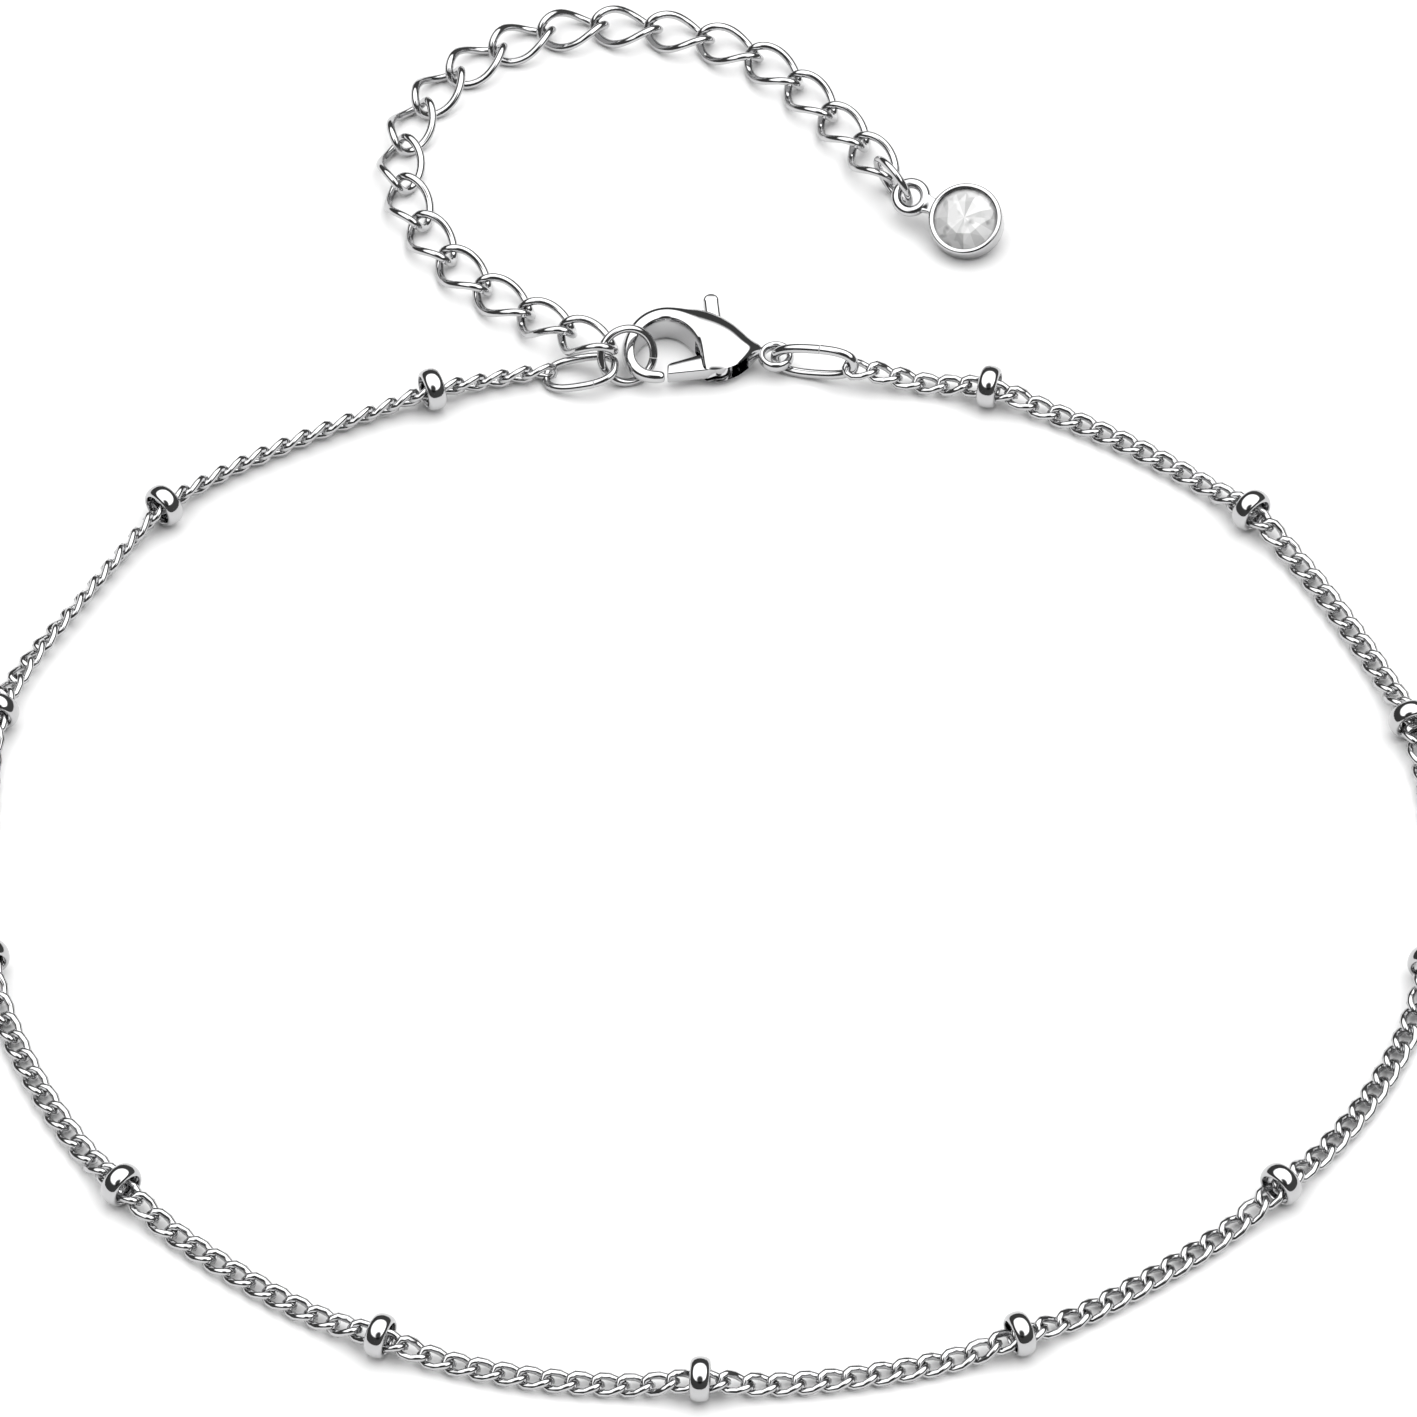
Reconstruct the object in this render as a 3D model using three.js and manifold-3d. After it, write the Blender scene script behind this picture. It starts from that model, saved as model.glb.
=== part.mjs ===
// A fine chain anklet lying closed on a table, with its extender laid out beside it.
// Millimetres, +Z up, +Y away from the viewer. The origin is at the bottom centre of the whole anklet.

import * as THREE from 'three';
import { mergeVertices } from 'three/addons/utils/BufferGeometryUtils.js';
import { ConvexGeometry } from 'three/addons/geometries/ConvexGeometry.js';
import { LoftGeometry } from 'three/addons/geometries/LoftGeometry.js';
import Module from 'manifold-3d';

const wasm = await Module();
wasm.setup();

// Air left between pieces that hang loosely in each other
const looseGap = 0.1;
const beadGap = 0.12;
const linkGap = 0.22;
const wireSides = 6;
const linkSteps = 14;

// Fine chain: a plain tube of its outer size, in steps that fall on every bead
const chainDiameter = 1.2;
const chainSides = 8;
const stepsBeforeFirstBead = 2;
const stepsPerBeadGap = 6;
const stepsAfterLastBead = 3;
const firstBeadAt = 5.8;
const beadSpacing = 16.48;
const beadLiftLength = 5.5;

// Ring beads that the chain runs through
const beadCount = 13;
const beadDiameter = 2.36;
const beadWidth = 1.04;
const beadHole = 1.62;
const beadSegments = 12;

// Extender of twisted curb links
const linkCount = 19;
const linkWidth = 2.72;
const linkWire = 0.46;
const linkTwist = THREE.MathUtils.degToRad(45);

// Rings at the clasp
const ringFullness = 2.6;
const chainEndRing = { length: 4.334, width: 2.495, wire: 0.45 };
const claspRing = { length: 4.96, width: 2.25, wire: 0.52 };
const joiningRing = { diameter: 3.412, wire: 0.46 };

// Lobster clasp
const claspLength = 9.4;
const claspWidth = 4.9;
const claspThickness = 2.0;
const eyeDiameter = 1.95;
const eyeWall = 0.42;
const eyeHeight = 0.62;
const eyeInset = 0.08;
const eyeAside = -0.4;
const neckIntoEye = 0.244;
const slotWidth = 1.0;
const pinDiameter = 0.44;
const pinLength = 1.24;
const pinGap = 0.12;
const leverArmWidth = 0.8;
const knobDiameter = 0.86;

// How far outside the clasp's two ends its neighbours are centred. The fine chain and the extender
// are measured to their first points.
const hookEnd = -claspLength / 2;
const eyeEnd = claspLength / 2;
const outsideHook = { joiningRing: -0.317, chainEndRing: 2.204, chain: 4.6, extender: 0.764 };
const outsideEye = { claspRing: 1.033, chain: 3.8 };

// End charm: a stone in a cup, with a neck and a loop
const charmRing = { diameter: 3.37, wire: 0.42 };
const cupDiameter = 4.06;
const cupHeight = 1.25;
const cupWall = 0.12;
const cupFloor = 0.2;
const cupFloorShare = 0.45;
const cupCorner = 0.1;
const cupRimCorner = 0.06;
const cupSegments = 24;
const charmLoop = { diameter: 2.2, wire: 0.6 };
const charmLoopReach = 3.39;
const neckWidth = 1.1;
const neckThickness = 0.48;
const stoneDiameter = 3.58;
const stoneCrown = 0.5;
const stonePavilion = 0.52;
const stoneGirdle = 0.08;
const lipHole = 3.48;
const lipThickness = 0.1;
const tableShare = 0.55;
const crownRing = { radiusShare: 0.8, highShare: 0.55 };
const pavilionRing = { radiusShare: 0.32, deepShare: 0.74 };

// Metal and stone
const silver = { color: 0xe6e7ea, metalness: 1, roughness: 0.12 };
const steel = { color: 0xc9cbd0, metalness: 1, roughness: 0.25 };
const clear = { color: 0xf6f9fc, metalness: 0, roughness: 0.03, transparent: true, opacity: 0.45 };

// Chosen points of the fine chain's route, from the clasp's hook round to its eye
const chainRoute = [
  [hookEnd - outsideHook.chain, 22.65], [-14.1, 21.4], [-21.6, 18.1], [-28.4, 13.7], [-33.2, 7.0],
  [-37.2, -0.2], [-38.0, -8.4], [-37.5, -16.6], [-34.9, -24.4], [-30.5, -31.4],
  [-24.4, -36.9], [-17.3, -41.2], [-9.4, -43.6], [-1.2, -44.2], [7.0, -43.7],
  [15.0, -41.7], [22.2, -37.7], [28.6, -32.6], [33.9, -26.2], [37.1, -18.7],
  [38.2, -10.5], [37.1, -2.3], [33.9, 5.2], [29.5, 12.1], [23.1, 17.4],
  [15.8, 21.1], [eyeEnd + outsideEye.chain, 22.5],
];

// Chosen points of the extender's route, from the joining ring to the charm's ring
const extenderStart = hookEnd - outsideHook.extender;
const extenderSteps = [2.121, 4.45];
const extenderRoute = [
  [extenderStart, 23.171, 2.198], [extenderStart - extenderSteps[0], 24.911, 1.485],
  [extenderStart - extenderSteps[1], 26.86, 0.791], [-13.15, 29.5, 0.76], [-15.7, 33.05, 0.76],
  [-17.05, 37.7, 0.76], [-15.8, 41.9, 0.76], [-13.0, 45.2, 0.76], [-8.1, 47.7, 0.76],
  [-2.3, 47.53, 0.76], [3.18, 45.2, 0.76], [6.6, 41.25, 0.78], [8.3, 38.83, 1.05],
  [9.82, 36.36, 1.25],
];

// Where the rings, the clasp and the charm lie: centre, then turns about X, Y and Z in degrees
const chainEndRingPlace = {
  at: [hookEnd - outsideHook.chainEndRing, 22.653, 0.806],
  turn: [0, -17.44, -3.9],
};
const joiningRingPlace = {
  at: [hookEnd - outsideHook.joiningRing, 23.321, 1.382],
  turn: [53.72, 0, 20.27],
};
const claspPlace = { at: [0, 24.0, claspThickness / 2], turn: [0, 0, 0] };
const claspRingPlace = {
  at: [eyeEnd + outsideEye.claspRing, 23.023, 1.261],
  turn: [80.6, -10.9, -14.5],
};
const charmRingPlace = { at: [10.1, 35.65, 1.63], normal: [-0.816, -0.581, -0.208] };
const charmPlace = { loop: [11.05, 34.49], turn: [25.1, -8.6, 153.7] };

// The neck runs into the eye's wall
const neckShare = (eyeEnd - eyeInset - eyeDiameter + neckIntoEye) / claspLength;

// Clasp body from neck to hook tip. Lengths along are shares of the clasp's length, lengths across
// shares of its width, and thick is a share of its thickness.
const claspSections = [
  { outer: [neckShare, 0.05], inner: [neckShare, -0.05], thick: 0.3 },
  { outer: [0.279, 0.092], inner: [0.279, -0.092], thick: 0.45 },
  { outer: [0.234, 0.148], inner: [0.245, -0.194], thick: 0.7 },
  { outer: [0.16, 0.3], inner: [0.177, -0.345], thick: 0.9 },
  { outer: [0.078, 0.429], inner: [0.09, -0.424], thick: 0.98 },
  { outer: [0.011, 0.5], inner: [0.011, -0.449], thick: 1 },
  { outer: [-0.032, 0.531], inner: [-0.034, -0.41], thick: 1 },
  { outer: [-0.069, 0.54], inner: [-0.038, -0.204], thick: 1 },
  { outer: [-0.106, 0.525], inner: [-0.06, 0], thick: 1 },
  { outer: [-0.149, 0.52], inner: [-0.106, 0.163], thick: 1 },
  { outer: [-0.207, 0.527], inner: [-0.176, 0.296], thick: 0.98 },
  { outer: [-0.277, 0.525], inner: [-0.255, 0.331], thick: 0.96 },
  { outer: [-0.356, 0.469], inner: [-0.324, 0.276], thick: 0.95 },
  { outer: [-0.431, 0.347], inner: [-0.383, 0.163], thick: 0.9 },
  { outer: [-0.486, 0.184], inner: [-0.414, 0.051], thick: 0.76 },
  { outer: [-0.506, 0.02], inner: [-0.423, -0.061], thick: 0.6 },
  { outer: [-0.497, -0.143], inner: [-0.418, -0.163], thick: 0.48 },
  { outer: [-0.467, -0.29], inner: [-0.399, -0.235], thick: 0.4 },
  { outer: [-0.41, -0.4], inner: [-0.358, -0.312], thick: 0.36 },
  { outer: [-0.33, -0.449], inner: [-0.305, -0.33], thick: 0.36 },
  { outer: [-0.262, -0.445], inner: [-0.262, -0.335], thick: 0.34 },
  { outer: [-0.25, -0.42], inner: [-0.25, -0.36], thick: 0.2 },
];

// One side of a clasp section: across from inner edge to outer edge, and high, both from -1 to 1
const sectionSide = [
  [-1, 0.72], [-0.8, 0.98], [-0.2, 1], [0.35, 0.88], [0.75, 0.6], [1, 0.2],
];

// Outlines seen from above, as shares of the clasp's length and width
const pivotShare = [0.0585, -0.184];
const slotOutline = [
  [-0.13, -0.57], [0.223, -0.57], [0.223, -0.2], [0.122, -0.02], [0.186, 0.306],
  [0.234, 0.65], [-0.037, 0.65], [-0.032, 0.09], [-0.064, 0.02], [-0.13, 0.01],
];
const gateOutline = [
  [-0.236, -0.4], [0, -0.34], [0.0585, -0.29], [0.0585, -0.184], [0, -0.08],
  [-0.216, -0.235], [-0.236, -0.265],
];
const hubShare = 0.125;
const knobShare = [0.0149, 0.69];

const degrees = THREE.MathUtils.degToRad;

function metal(look) {
  return new THREE.MeshStandardMaterial(look);
}

function named(name, geometry, look) {
  const mesh = new THREE.Mesh(geometry, metal(look));
  mesh.name = name;
  return mesh;
}

function number(index) {
  return String(index).padStart(2, '0');
}

function place(object, { at, turn }) {
  object.position.set(...at);
  object.rotation.set(...turn.map(degrees), 'ZYX');
  return object;
}

// A closed mesh as a solid that can be joined and cut
function toSolid(geometry) {
  const bare = new THREE.BufferGeometry().copy(geometry);
  bare.deleteAttribute('normal');
  bare.deleteAttribute('uv');
  const merged = mergeVertices(bare);
  return new wasm.Manifold(new wasm.Mesh({
    numProp: 3,
    vertProperties: new Float32Array(merged.attributes.position.array),
    triVerts: new Uint32Array(merged.index.array),
  }));
}

function fromSolid(solid) {
  const mesh = solid.getMesh();
  const geometry = new THREE.BufferGeometry();
  geometry.setAttribute('position', new THREE.BufferAttribute(mesh.vertProperties, 3));
  geometry.setIndex(new THREE.BufferAttribute(mesh.triVerts, 1));
  geometry.computeVertexNormals();
  return geometry;
}

function smoothStep(share) {
  const held = THREE.MathUtils.clamp(share, 0, 1);
  return held * held * (3 - 2 * held);
}

// Centreline of a wire link: an oval whose ends are twisted against each other about its long axis.
// A fullness of 2 is an ellipse, more is squarer.
class LinkCurve extends THREE.Curve {
  constructor(halfLength, halfWidth, { twistPerLength = 0, fullness = 2 } = {}) {
    super();
    this.halfLength = halfLength;
    this.halfWidth = halfWidth;
    this.twistPerLength = twistPerLength;
    this.fullness = fullness;
  }

  share(value) {
    return Math.sign(value) * Math.abs(value) ** (2 / this.fullness);
  }

  getPoint(share, target = new THREE.Vector3()) {
    const angle = 2 * Math.PI * share;
    const along = this.halfLength * this.share(Math.cos(angle));
    const across = this.halfWidth * this.share(Math.sin(angle));
    const roll = -this.twistPerLength * along;
    return target.set(along, across * Math.cos(roll), across * Math.sin(roll));
  }
}

function ovalRing({ length, width, wire }) {
  const curve = new LinkCurve((length - wire) / 2, (width - wire) / 2, { fullness: ringFullness });
  return new THREE.TubeGeometry(curve, linkSteps, wire / 2, wireSides, true);
}

function roundRing({ diameter, wire }) {
  return new THREE.TorusGeometry((diameter - wire) / 2, wire / 2, wireSides, linkSteps);
}

// The chain's centreline rests on the table between beads and rises to pass through each one
const lastBeadStep = stepsBeforeFirstBead + stepsPerBeadGap * (beadCount - 1);
const lastBeadAt = firstBeadAt + beadSpacing * (beadCount - 1);
const chainSteps = lastBeadStep + stepsAfterLastBead;
const chainRest = chainDiameter / 2;
const chainInBead = (beadDiameter - beadHole) / 2 + beadGap + chainDiameter / 2;

function beadStep(index) {
  return stepsBeforeFirstBead + stepsPerBeadGap * index;
}

function distanceAtStep(step, total) {
  if (step < stepsBeforeFirstBead) return (firstBeadAt * step) / stepsBeforeFirstBead;
  if (step < lastBeadStep) {
    return firstBeadAt + (beadSpacing * (step - stepsBeforeFirstBead)) / stepsPerBeadGap;
  }
  return lastBeadAt + ((total - lastBeadAt) * (step - lastBeadStep)) / stepsAfterLastBead;
}

// A curve whose equal shares fall on its own points, so that a step falls on every bead
class StationCurve extends THREE.CatmullRomCurve3 {
  getUtoTmapping(share) {
    return share;
  }
}

function makeChainPath() {
  const plan = new THREE.CatmullRomCurve3(chainRoute.map(([x, y]) => new THREE.Vector3(x, y, 0)));
  const total = plan.getLength();
  const points = [];
  for (let half = 0; half <= 2 * chainSteps; half += 1) {
    const distance = distanceAtStep(half / 2, total);
    const point = plan.getPointAt(distance / total);
    const bead = Math.round((distance - firstBeadAt) / beadSpacing);
    const nearest = Math.abs(distance - firstBeadAt - beadSpacing * bead);
    const drop = smoothStep((nearest - beadWidth / 2) / (beadLiftLength - beadWidth / 2));
    point.z = THREE.MathUtils.lerp(chainInBead, chainRest, drop);
    points.push(point);
  }
  return new StationCurve(points);
}

function polygonShape(radius, sides) {
  const corners = [];
  for (let i = 0; i < sides; i += 1) {
    const angle = (2 * Math.PI * i) / sides;
    corners.push(new THREE.Vector2(radius * Math.cos(angle), radius * Math.sin(angle)));
  }
  return new THREE.Shape(corners);
}

function makeChain(path) {
  const section = polygonShape(chainDiameter / 2, chainSides);
  const geometry = new THREE.ExtrudeGeometry(section, { extrudePath: path, steps: chainSteps });
  return named('curb_chain', geometry, silver);
}

// Half of a bead's rounded wall, as shares of its wall and half its width
const beadProfile = [
  [0.05, -0.55], [0.5, -0.98], [0.85, -0.62], [1, 0], [0.85, 0.62], [0.5, 0.98], [0.05, 0.55],
];

function makeBeads(path) {
  const wall = (beadDiameter - beadHole) / 2;
  const profile = beadProfile.map(([out, along]) => (
    new THREE.Vector2(beadHole / 2 + wall * out, (beadWidth / 2) * along)
  ));
  profile.push(profile[0].clone());
  const beads = [];
  for (let i = 0; i < beadCount; i += 1) {
    const share = beadStep(i) / chainSteps;
    const bead = named(`bead_${number(i + 1)}`, new THREE.LatheGeometry(profile, beadSegments), silver);
    const tangent = path.getTangent(share);
    const point = path.getPoint(share);
    bead.position.set(point.x, point.y, beadDiameter / 2);
    bead.rotation.set(0, 0, Math.atan2(tangent.y, tangent.x) - Math.PI / 2);
    beads.push(bead);
  }
  return beads;
}

// Links share the route evenly: neighbours cross at a joint, half a wire and half a gap inside each end
function makeExtender() {
  const route = new THREE.CatmullRomCurve3(extenderRoute.map((p) => new THREE.Vector3(...p)));
  const joints = route.getSpacedPoints(linkCount);
  const links = [];
  for (let i = 0; i < linkCount; i += 1) {
    const from = joints[i];
    const to = joints[i + 1];
    const pitch = from.distanceTo(to);
    const curve = new LinkCurve(
      (pitch + linkWire + linkGap) / 2,
      (linkWidth - linkWire) / 2,
      { twistPerLength: linkTwist / (pitch / 2) },
    );
    const geometry = new THREE.TubeGeometry(curve, linkSteps, linkWire / 2, wireSides, true);
    const link = named(`extender_link_${number(i + 1)}`, geometry, silver);
    const along = to.clone().sub(from).normalize();
    const side = new THREE.Vector3(0, 0, 1).cross(along).normalize();
    const up = along.clone().cross(side);
    link.quaternion.setFromRotationMatrix(new THREE.Matrix4().makeBasis(along, side, up));
    link.position.copy(from).lerp(to, 0.5);
    links.push(link);
  }
  return links;
}

function claspPoint([along, across]) {
  return new THREE.Vector2(along * claspLength, across * claspWidth);
}

function claspSection({ outer, inner, thick }) {
  const outerEdge = claspPoint(outer);
  const innerEdge = claspPoint(inner);
  const above = sectionSide.map(([across, high]) => [across, high]);
  const below = sectionSide.map(([across, high]) => [across, -high]).reverse();
  return [...above, ...below].map(([across, high]) => {
    const edge = innerEdge.clone().lerp(outerEdge, (across + 1) / 2);
    return new THREE.Vector3(edge.x, edge.y, (high * thick * claspThickness) / 2);
  });
}

function plate(outline, thickness) {
  const geometry = new THREE.ExtrudeGeometry(new THREE.Shape(outline), {
    depth: thickness,
    bevelEnabled: false,
  });
  return geometry.translate(0, 0, -thickness / 2);
}

function rod(diameter, length, sides) {
  return new THREE.CylinderGeometry(diameter / 2, diameter / 2, length, sides).rotateX(Math.PI / 2);
}

// The eye lies in the body's plane, a little to one side of its middle
const eyeCentre = [eyeEnd - eyeDiameter / 2 - eyeInset, eyeAside, 0];
const pivot = claspPoint(pivotShare);

function makeClaspBody() {
  const hook = toSolid(new LoftGeometry(claspSections.map(claspSection), {
    capStart: true,
    capEnd: true,
  }));
  const ring = new THREE.TorusGeometry((eyeDiameter - eyeWall) / 2, eyeWall / 2, 8, 16)
    .scale(1, 1, eyeHeight / eyeWall)
    .translate(...eyeCentre);
  const slot = toSolid(plate(slotOutline.map(claspPoint), slotWidth));
  const pocket = toSolid(rod(pinDiameter + 2 * pinGap, pinLength + 2 * looseGap, 12)
    .translate(pivot.x, pivot.y, 0));
  const body = hook.add(toSolid(ring)).subtract(slot).subtract(pocket);
  return named('clasp_body', fromSolid(body), silver);
}

function makeClaspPin() {
  const geometry = rod(pinDiameter, pinLength, 10).translate(pivot.x, pivot.y, 0);
  return named('clasp_pin', geometry, steel);
}

// Gate, hub and stem in one flat plate, with a round knob on the stem
function makeClaspLever() {
  const thickness = slotWidth - 2 * looseGap;
  const gate = toSolid(plate(gateOutline.map(claspPoint), thickness));
  const hub = toSolid(rod(2 * hubShare * claspWidth, thickness, 16).translate(pivot.x, pivot.y, 0));
  const knobCentre = claspPoint(knobShare);
  const reach = knobCentre.clone().sub(pivot);
  const aside = new THREE.Vector2(-reach.y, reach.x).setLength(leverArmWidth / 2);
  const stem = toSolid(plate([
    pivot.clone().sub(aside),
    knobCentre.clone().sub(aside),
    knobCentre.clone().add(aside),
    pivot.clone().add(aside),
  ], thickness));
  const knob = toSolid(rod(knobDiameter, thickness, 12).translate(knobCentre.x, knobCentre.y, 0));
  const bore = toSolid(rod(pinDiameter + 2 * pinGap, claspThickness, 12)
    .translate(pivot.x, pivot.y, 0));
  const lever = gate.add(hub).add(stem).add(knob).subtract(bore);
  return named('clasp_lever', fromSolid(lever), silver);
}

function makeClasp() {
  const clasp = new THREE.Group();
  clasp.add(makeClaspBody(), makeClaspLever(), makeClaspPin());
  return place(clasp, claspPlace);
}

function lathe(profile, segments) {
  const points = profile.map(([out, high]) => new THREE.Vector2(out, high));
  return new THREE.LatheGeometry(points, segments).rotateX(Math.PI / 2);
}

// The stone's girdle sits just under the lip that holds it
const girdleTop = cupHeight - lipThickness - 2 * looseGap;

function makeBezel() {
  const outside = cupDiameter / 2;
  const inside = outside - cupWall;
  const lip = lipHole / 2;
  const cup = toSolid(lathe([
    [0, 0],
    [outside - cupCorner, 0],
    [outside, cupCorner],
    [outside, cupHeight - 2 * cupRimCorner],
    [outside - cupRimCorner, cupHeight],
    [lip, cupHeight],
    [lip, cupHeight - lipThickness],
    [inside, cupHeight - lipThickness],
    [inside, girdleTop - stoneGirdle - looseGap],
    [inside * cupFloorShare, cupFloor],
    [0, cupFloor],
  ], cupSegments));
  const middle = cupHeight / 2;
  const loop = toSolid(new THREE.TorusGeometry(
    (charmLoop.diameter - charmLoop.wire) / 2,
    charmLoop.wire / 2,
    8,
    16,
  ).translate(charmLoopReach, 0, middle));
  const neckEnd = charmLoopReach - (charmLoop.diameter - charmLoop.wire) / 2;
  const neck = toSolid(plate([
    new THREE.Vector2(outside - cupWall, -neckWidth / 2),
    new THREE.Vector2(neckEnd, -neckWidth / 2),
    new THREE.Vector2(neckEnd, neckWidth / 2),
    new THREE.Vector2(outside - cupWall, neckWidth / 2),
  ], neckThickness).translate(0, 0, middle));
  return named('charm_bezel', fromSolid(cup.add(neck).add(loop)), silver);
}

function ringOfPoints(radius, high, count, offset) {
  const points = [];
  for (let i = 0; i < count; i += 1) {
    const angle = (2 * Math.PI * (i + offset)) / count;
    points.push(new THREE.Vector3(radius * Math.cos(angle), radius * Math.sin(angle), high));
  }
  return points;
}

// Round brilliant cut: table, crown, girdle and pavilion
function makeStone() {
  const radius = stoneDiameter / 2;
  const table = radius * tableShare;
  const points = [
    ...ringOfPoints(table, stoneCrown, 8, 0),
    ...ringOfPoints(radius * crownRing.radiusShare, stoneCrown * crownRing.highShare, 8, 0.5),
    ...ringOfPoints(radius, 0, 16, 0),
    ...ringOfPoints(radius, -stoneGirdle, 16, 0),
    ...ringOfPoints(
      radius * pavilionRing.radiusShare,
      -stoneGirdle - stonePavilion * pavilionRing.deepShare,
      8,
      0.5,
    ),
    new THREE.Vector3(0, 0, -stoneGirdle - stonePavilion),
  ];
  const geometry = new ConvexGeometry(points).translate(0, 0, girdleTop);
  return named('crystal', geometry, clear);
}

function lowestPoint(object) {
  object.updateWorldMatrix(true, true);
  return new THREE.Box3().setFromObject(object, true).min.z;
}

// The charm leans on the lower edge of its cup, its loop held up by the ring
function makeCharm() {
  const charm = new THREE.Group();
  charm.add(makeBezel(), makeStone());
  charm.rotation.set(...charmPlace.turn.map(degrees), 'XYZ');
  const loopOffset = new THREE.Vector3(charmLoopReach, 0, cupHeight / 2).applyEuler(charm.rotation);
  charm.position.set(charmPlace.loop[0] - loopOffset.x, charmPlace.loop[1] - loopOffset.y, 0);
  charm.position.z = -lowestPoint(charm);
  return charm;
}

function makeCharmRing() {
  const ring = named('charm_jump_ring', roundRing(charmRing), silver);
  const normal = new THREE.Vector3(...charmRingPlace.normal).normalize();
  ring.position.set(...charmRingPlace.at);
  ring.quaternion.setFromUnitVectors(new THREE.Vector3(0, 0, 1), normal);
  return ring;
}

function makeAnklet() {
  const anklet = new THREE.Group();
  const path = makeChainPath();
  anklet.add(
    makeChain(path),
    ...makeBeads(path),
    place(named('jump_ring_chain_end', ovalRing(chainEndRing), silver), chainEndRingPlace),
    place(named('joining_ring', roundRing(joiningRing), silver), joiningRingPlace),
    ...makeExtender(),
    makeClasp(),
    place(named('jump_ring_clasp', ovalRing(claspRing), silver), claspRingPlace),
    makeCharmRing(),
    makeCharm(),
  );
  anklet.updateWorldMatrix(true, true);
  const box = new THREE.Box3().setFromObject(anklet, true);
  const middle = box.getCenter(new THREE.Vector3());
  anklet.position.set(-middle.x, -middle.y, -box.min.z);
  const placed = new THREE.Group();
  placed.add(anklet);
  return placed;
}

export default makeAnklet();
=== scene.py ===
import math

import bmesh
import bpy
from mathutils import Matrix, Vector, noise


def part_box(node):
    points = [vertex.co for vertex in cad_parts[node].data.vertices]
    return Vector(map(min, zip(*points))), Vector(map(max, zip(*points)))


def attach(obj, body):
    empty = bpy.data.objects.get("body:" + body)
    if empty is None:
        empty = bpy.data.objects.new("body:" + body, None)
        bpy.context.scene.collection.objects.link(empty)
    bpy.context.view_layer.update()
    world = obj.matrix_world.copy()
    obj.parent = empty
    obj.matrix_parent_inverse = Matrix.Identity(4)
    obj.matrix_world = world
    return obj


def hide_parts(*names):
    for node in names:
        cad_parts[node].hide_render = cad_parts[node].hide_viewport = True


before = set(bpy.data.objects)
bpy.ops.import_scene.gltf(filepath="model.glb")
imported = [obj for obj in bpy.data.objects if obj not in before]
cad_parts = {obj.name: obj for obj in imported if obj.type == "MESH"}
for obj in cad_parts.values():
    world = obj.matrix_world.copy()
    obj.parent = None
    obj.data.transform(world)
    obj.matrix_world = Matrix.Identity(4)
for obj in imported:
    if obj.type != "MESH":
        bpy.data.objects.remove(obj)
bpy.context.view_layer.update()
mm = 0.001

# places below are in millimetres from the spot on the table at the middle of the photo
photoCentre = Vector((-0.088, -1.886, 0.000)) * mm


def spot(x, y, z=0.0):
    return photoCentre + Vector((x, y, z)) * mm


def turned(at, turn):
    # turns about X first, then Y, then Z
    x, y, z = (math.radians(angle) for angle in turn)
    return (Matrix.Translation(spot(*at)) @ Matrix.Rotation(z, 4, "Z")
            @ Matrix.Rotation(y, 4, "Y") @ Matrix.Rotation(x, 4, "X"))


cameraSetup = {"elevation": 51.2, "distance": 598.5, "lens": 288, "sensor": 36}


def makeCamera():
    tilt = math.radians(cameraSetup["elevation"])
    camera = bpy.data.objects.new("camera", bpy.data.cameras.new("camera"))
    camera.data.lens = cameraSetup["lens"]
    camera.data.sensor_width = cameraSetup["sensor"]
    camera.data.clip_start = 0.01
    camera.data.clip_end = 20
    back = Vector((0, -math.cos(tilt), math.sin(tilt)))
    camera.location = photoCentre + back * cameraSetup["distance"] * mm
    camera.rotation_euler = (math.pi / 2 - tilt, 0, 0)
    bpy.context.collection.objects.link(camera)
    bpy.context.scene.camera = camera


studio = {
    "tent": 4.0,          # brightness of the white tent
    "room": 0.03,         # and of the dark room below its edge
    "tentFrom": 0.6,      # height of the tent's edge at the sides, as a sine
    "lowerBehind": 0.03,  # the edge is lower behind the anklet and higher in front
    "fade": 0.08,
    "leftShade": 0.3,     # how much dimmer the tent is on its left
    "opening": 24,        # half angle of the dark opening the camera looks through
    "openingDark": 0.6,   # share of that angle that is fully dark
    "paper": (0.88, 0.88, 0.88),
    "paperRoughness": 0.9,
    "paperSheen": 0.1,
    "tableHalf": 2.0,     # metres
}


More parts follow.
